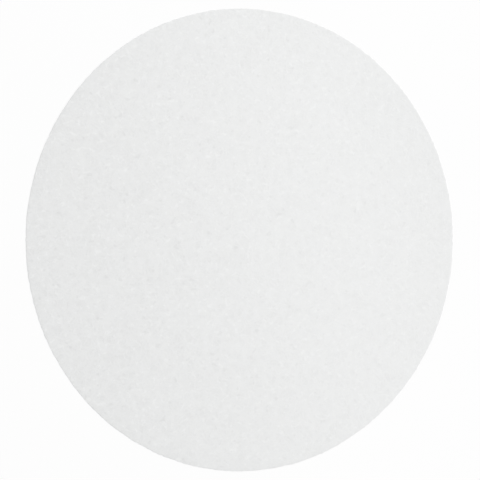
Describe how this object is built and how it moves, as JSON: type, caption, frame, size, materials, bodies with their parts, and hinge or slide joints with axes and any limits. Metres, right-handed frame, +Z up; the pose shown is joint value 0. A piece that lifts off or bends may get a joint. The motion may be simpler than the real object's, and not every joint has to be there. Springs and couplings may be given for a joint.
{
  "type": "filter paper disc",
  "caption": "Thin, flat, round disc of plain white absorbent filter paper with a punched rim, for lining a funnel or a dish.",
  "frame": {"origin": "centre of the disc's underside, on the surface that it lies on", "axes": "+Z up out of the face that the knife entered; the disc is round about Z, so +X and +Y are alike"},
  "size_m": [0.11, 0.11, 0.0002],
  "materials": {
    "paper": "matte"
  },
  "bodies": {
    "root": {"paper_disc": "paper"}
  },
  "joints": []
}
